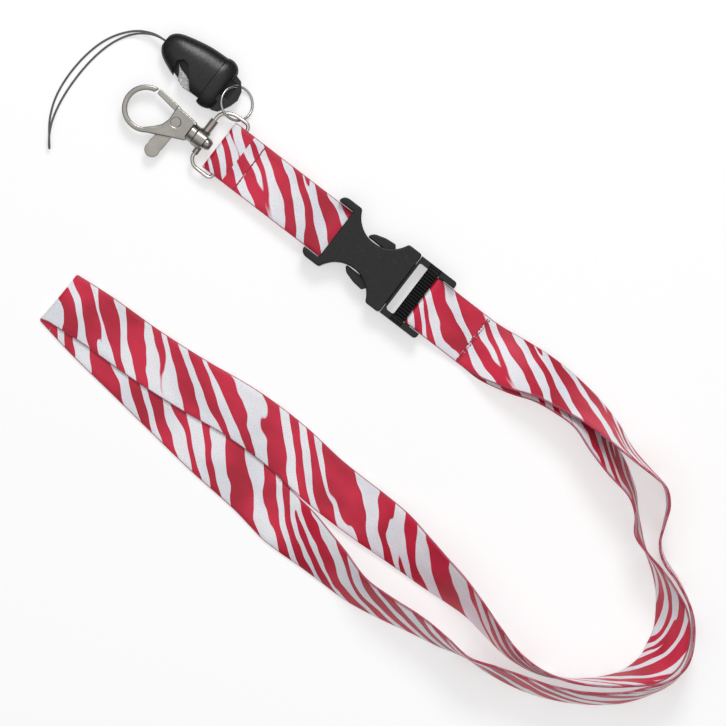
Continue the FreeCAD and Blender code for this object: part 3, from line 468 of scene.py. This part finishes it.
def end_fold(lower, upper):
    """The half turn between the two layers at the loop's far end."""
    bulge, steps = 1.2 * MM, 8
    made = []
    for step in range(1, steps):
        angle, share = math.pi * step / steps, step / steps
        centre = lower[0].lerp(upper[0], share)
        centre.z = (lower[0].z * (1 + math.cos(angle)) + upper[0].z * (1 - math.cos(angle))) / 2
        centre.x -= bulge * math.sin(angle)
        across = lower[1].lerp(upper[1], share).normalized()
        ahead = Vector((-across.y, across.x, 0))
        made.append((centre, across, lower[2] * math.cos(angle) - ahead * math.sin(angle)))
    return made


def neck_strap(material):
    """One sewn webbing: round the buckle's bar, out along the outer strand and back along the inner one."""
    outer, inner = frames(OUTER_STRAND), frames(INNER_STRAND)
    fold = end_fold(outer[-1], inner[-1])
    seam_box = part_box("neck_strap_buckle_fold")
    bar_x = seam_box[0].x + 2.15 * MM
    bar_radius = 1.7 * MM
    knee_x, seam_x = bar_x + 5.5 * MM, seam_box[1].x
    across, up = Vector((0, -1, 0)), Vector((0, 0, 1))
    bar = arc_frames(bar_x, bar_radius, 270, 90, across)
    half = (STRAP_THICK + LAYER_GAP) / 2
    seam_z = (outer[0][0].z + inner[0][0].z) / 2
    share = (knee_x - bar_x) / (seam_x - 2 * MM - bar_x)
    knee_z = MID + (seam_z - MID) * share
    middle_x = (knee_x + seam_x) / 2
    middle_z = (knee_z + seam_z) / 2 - 0.25 * MM
    lower = [(Vector((middle_x, 0, middle_z - half)), across, -up), (Vector((knee_x, 0, knee_z - half)), across, -up)]
    upper = [(Vector((knee_x, 0, knee_z + half)), across, up), (Vector((middle_x, 0, middle_z + half)), across, up)]
    loop = outer + fold + turned(inner) + lower + bar + upper
    piece, length = webbing("neck_strap", loop)
    piece.data.materials.append(material)
    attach(piece, "neck_loop")
    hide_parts(*[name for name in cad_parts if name.startswith("neck_strap")])


def tail_strap(material):
    """The short doubled strap between the socket's bar and the swivel's wire."""
    low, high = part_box("tail_strap")
    fold = 1.35 * MM
    bar_radius = 1.8 * MM
    bar_x = high.x - 2.25 * MM
    fold_x = low.x + fold + STRAP_THICK / 2
    half = (STRAP_THICK + LAYER_GAP) / 2
    across, up = Vector((0, -1, 0)), Vector((0, 0, 1))
    pocket_x, seam_x = fold_x + 7.0 * MM, -50.4 * MM

    def level(x, z, normal):
        return (Vector((x, 0, MID + z)), across.copy(), normal.copy())

    runs = [(bar_x - 5 * MM, half), (-24 * MM, half * 1.25), (-38 * MM, half * 1.1), (seam_x, half), (pocket_x, fold)]
    loop = [level(x, z, up) for x, z in reversed(runs)]
    loop += arc_frames(bar_x, bar_radius, 90, -90, across)
    loop += [level(x, -z, -up) for x, z in runs]
    loop += arc_frames(fold_x, fold, 270, 90, across)
    piece, length = webbing("tail_webbing", loop)
    piece.data.materials.append(material)
    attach(piece, "socket_and_tail")
    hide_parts("tail_strap")


def thread(build, centres, radii):
    """A round thread through the centres, closed at both ends."""
    sides = 8
    rings = []
    for centre, radius in zip(centres, radii):
        rings.append([build.verts.new(centre + Vector((math.cos(a), 0, math.sin(a))) * radius)
                      for a in (2 * math.pi * side / sides for side in range(sides))])
    for here, there in zip(rings, rings[1:]):
        for side in range(sides):
            after = (side + 1) % sides
            build.faces.new((here[side], here[after], there[after], there[side])).smooth = True
    build.faces.new(rings[0][::-1])
    build.faces.new(rings[-1])


def stitch_row(build, seam_x, top_z, count):
    """One row of arched thread stitches across the strap."""
    margin, filled, steps = 0.6 * MM, 0.76, 7
    radius, sink, arch, sway = 0.21 * MM, 0.18 * MM, 0.30 * MM, 0.12 * MM
    pitch = (STRAP_WIDTH - 2 * margin) / count
    for index in range(count):
        start = -STRAP_WIDTH / 2 + margin + pitch * (index + (1 - filled) / 2)
        x = seam_x + sway * math.sin(index * 2.1)
        centres, radii = [], []
        for step in range(steps + 1):
            share = step / steps
            lift = math.sin(math.pi * share)
            centres.append(Vector((x, start + pitch * filled * share, top_z - sink + lift * arch)))
            radii.append(radius * (0.55 + 0.45 * lift))
        thread(build, centres, radii)


def seam_line_and_crease_shade(build, seam_x, top_z, radius):
    """A continuous sunk thread across the strap, where the stitches pull the layers together; its dark thread also
    stands in for the shade in the seam's crease, as painted shade.
    """
    steps, sway, length = 24, 0.1 * MM, STRAP_WIDTH - 0.9 * MM
    shares = [step / steps for step in range(steps + 1)]
    centres = [Vector((seam_x + sway * math.sin(share * 40), (share - 0.5) * length, top_z)) for share in shares]
    thread(build, centres, [radius] * len(centres))


def stitching(name, node, body, rows, count, top_z, material, line=0.0):
    """A seam: rows of stitches at these offsets from its middle, over a sunk line of this radius if any, whose thread
    is also painted shade for the seam's crease.
    """
    low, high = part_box(node)
    middle = (low.x + high.x) / 2
    build = bmesh.new()
    for offset in rows:
        stitch_row(build, middle + offset, top_z, count)
    if line:
        seam_line_and_crease_shade(build, middle, top_z, line)
    bmesh.ops.recalc_face_normals(build, faces=build.faces)
    mesh = bpy.data.meshes.new(name)
    build.to_mesh(mesh)
    build.free()
    mesh.materials.append(material)
    piece = linked(name, mesh)
    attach(piece, body)
    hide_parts(node)


# ---------------------------------------------------------------- hard pieces

def round_corners(build, radius, inside):
    """Round the upright corner edges whose middle, in mm, the test accepts."""
    shortest, sharpest = 2 * MM, math.radians(40)
    chosen = []
    for edge in build.edges:
        first, last = edge.verts[0].co, edge.verts[1].co
        rise = abs(first.z - last.z)
        upright = rise > 0.9 * (first - last).length and rise > shortest
        if upright and len(edge.link_faces) == 2 and edge.calc_face_angle(0) > sharpest:
            if inside((first + last) / 2 / MM):
                chosen.append(edge)
    bmesh.ops.bevel(build, geom=chosen, offset=radius, segments=6, profile=0.5, affect="EDGES", clamp_overlap=True)


def cad_copy(node, corners, merged):
    """A new object with the CAD piece's shape: flat faces merged if asked, and the named corners rounded."""
    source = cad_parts[node]
    build = bmesh.new()
    build.from_mesh(source.data)
    build.transform(source.matrix_world)
    bmesh.ops.remove_doubles(build, verts=build.verts, dist=WELD)
    if merged:
        bmesh.ops.dissolve_limit(build, angle_limit=FLAT, verts=build.verts, edges=build.edges)
    for radius, inside in corners:
        round_corners(build, radius, inside)
    for face in build.faces:
        face.smooth = True
    mesh = bpy.data.meshes.new(node + "_finish")
    build.to_mesh(mesh)
    build.free()
    return linked(node + "_finish", mesh)


def softened(node, body, material, width, segments=3, corners=()):
    """The CAD piece with its flat faces merged and its sharp edges rounded, as moulding leaves them."""
    piece = cad_copy(node, corners, True)
    piece.data.materials.append(material)
    bevel = piece.modifiers.new("rounding", "BEVEL")
    bevel.width, bevel.segments = width, segments
    bevel.limit_method, bevel.angle_limit = "ANGLE", math.radians(28)
    normals = piece.modifiers.new("shading", "WEIGHTED_NORMAL")
    normals.keep_sharp = False
    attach(piece, body)
    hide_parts(node)


def cast(node, body, material, voxel, passes, corners=()):
    """The CAD piece remeshed and relaxed, so that every edge is rounded as tumbled metal or a mould leaves it."""
    piece = cad_copy(node, corners, bool(corners))
    remesh = piece.modifiers.new("skin", "REMESH")
    remesh.mode, remesh.voxel_size, remesh.use_smooth_shade = "VOXEL", voxel, True
    relax = piece.modifiers.new("relax", "SMOOTH")
    relax.factor, relax.iterations = 0.5, passes
    solved = bpy.data.meshes.new_from_object(piece.evaluated_get(bpy.context.evaluated_depsgraph_get()))
    piece.modifiers.clear()
    piece.data = solved
    solved.materials.clear()
    solved.materials.append(material)
    for polygon in solved.polygons:
        polygon.use_smooth = True
    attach(piece, body)
    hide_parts(node)


def finish_node(node, material):
    """Give a CAD piece that is kept as it is its own material."""
    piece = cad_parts[node]
    if not piece.material_slots:
        piece.data.materials.append(material)
    for material_slot in piece.material_slots:
        material_slot.material = material


def hard_pieces():
    """Every moulded, cast and wire piece, with its material."""
    acetal = {"level": 0.004, "grain_scale": 1300.0, "grain_depth": 0.09 * MM, "rough": 0.38}
    plastic = moulded_plastic("buckle_acetal", **acetal)
    ribbed = moulded_plastic("ribbed_acetal", **acetal, ribs=(22.3 * MM, 26.9 * MM, 1.15 * MM))
    shell = moulded_plastic("connector_shell", level=0.008, grain_scale=1900.0, grain_depth=0.02 * MM, rough=0.30)
    grey_plastic = moulded_plastic("tongue_plastic", level=0.36, grain_scale=1400.0, grain_depth=0.03 * MM, rough=0.45)
    plate = nickel("nickel_plate", tint=(0.35, 0.33, 0.305), rough=0.30)
    wire = nickel("nickel_wire", tint=(0.66, 0.64, 0.61), rough=0.26)
    ring = nickel("ring_steel", tint=(0.50, 0.50, 0.49), rough=0.30)

    socket_corners = [
        (2.6 * MM, lambda spot: abs(spot.y) > 12.5 and spot.x < -15),
        (3.4 * MM, lambda spot: abs(spot.y) > 12.5 and -12 < spot.x < -6),
        (2.4 * MM, lambda spot: abs(spot.y) > 12.5 and 8 < spot.x < 15),
        (0.9 * MM, lambda spot: abs(spot.y) > 12.5 and spot.x > 17)]
    frame_corners = [
        (1.3 * MM, lambda spot: spot.x > 33.5 and abs(spot.y) > 12),
        (1.2 * MM, lambda spot: 18.5 < spot.x < 22.5 and abs(spot.y) < 11.5)]
    cast("buckle_socket", "socket_and_tail", plastic, voxel=0.2 * MM, passes=30,
         corners=socket_corners)
    softened("buckle_frame", "neck_loop", ribbed, width=0.12 * MM, segments=2,
             corners=frame_corners)
    softened("latch_arm_left", "latch_left", plastic, width=0.5 * MM)
    softened("latch_arm_right", "latch_right", plastic, width=0.5 * MM)
    cast("hook_body", "claw_hook", plate, voxel=0.13 * MM, passes=60)
    cast("hook_lever", "gate_lever", plate, voxel=0.12 * MM, passes=28)
    softened("swivel_barrel", "swivel_loop", plate, width=0.3 * MM)
    softened("swivel_stem", "claw_hook", plate, width=0.15 * MM)
    softened("connector_cap", "connector_fixed_end", shell, width=0.35 * MM)
    softened("connector_body", "connector_pull_end", shell, width=0.3 * MM)
    softened("release_tongue", "connector_fixed_end", grey_plastic, width=0.4 * MM)
    for node, material in (("strap_loop_wire", wire), ("thin_ring", ring), ("lever_rivet", plate),
                           ("lever_spring", wire), ("cord_anchor", wire)):
        finish_node(node, material)


# ---------------------------------------------------------------- phone cord

# Out along one run, round the tip and back along the other: x, y and z in mm.
CORD_ROUTE = [
    (-99.3, 18.0, 3.95), (-102.9, 18.0, 3.95), (-107.6, 17.5, 2.5), (-112.9, 14.9, 0.6), (-117.4, 10.0, 0.45),
    (-120.7, 3.6, 0.45), (-122.5, -4.6, 0.45), (-122.9, -13.6, 0.45), (-121.8, -22.2, 0.45),
    (-119.0, -29.1, 0.45), (-115.9, -33.5, 0.45), (-113.6, -36.3, 0.45), (-112.1, -38.1, 0.45),
    (-112.1, -38.1, 2.5), (-113.6, -36.3, 2.5), (-115.6, -33.4, 2.1), (-117.9, -28.6, 0.9),
    (-119.6, -20.8, 0.45), (-120.1, -12.2, 0.45), (-119.7, -3.8, 0.45), (-118.1, 4.2, 0.45),
    (-115.4, 10.2, 0.5), (-111.6, 14.6, 1.6), (-107.2, 17.1, 3.8), (-102.9, 18.0, 4.85), (-99.3, 18.0, 4.85),
]


def phone_cord():
    """The thin doubled cord: out of the connector, down to its tight tip, and back over itself."""
    diameter = 0.8 * MM
    curve = bpy.data.curves.new("phone_loop_cord", "CURVE")
    curve.dimensions = "3D"
    curve.resolution_u = 8
    curve.bevel_depth = diameter / 2
    curve.bevel_resolution = 4
    spline = curve.splines.new("NURBS")
    spline.points.add(len(CORD_ROUTE) - 1)
    for point, (x, y, z) in zip(spline.points, CORD_ROUTE):
        point.co = (x * MM, y * MM, z * MM, 1)
    spline.order_u = 3
    spline.use_endpoint_u = True
    curve.materials.append(cord_material())
    piece = linked("phone_loop_cord", curve)
    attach(piece, "connector_pull_end")
    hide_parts("phone_cord")


camera()
phone_cord()
studio()
WEBBING = zebra_webbing()
THREAD = thread_material("sewing_thread", pale_from=0.50)
DARK_THREAD = thread_material("dark_sewing_thread", pale_from=0.60)
neck_strap(WEBBING)
tail_strap(WEBBING)
stitching("neck_seam_thread", "neck_seam_stitching", "neck_loop", rows=(-1.5 * MM, -0.7 * MM), count=17,
          top_z=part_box("neck_seam_stitching")[0].z, material=THREAD)
# The tail seam's darker thread and its continuous sunk line also stand in for the shade in the seam's crease: partly
# painted shade.
stitching("tail_seam_thread", "tail_seam_stitching", "socket_and_tail", rows=(0.0,), count=13,
          top_z=MID + STRAP_THICK + LAYER_GAP / 2, material=DARK_THREAD, line=0.24 * MM)
hard_pieces()
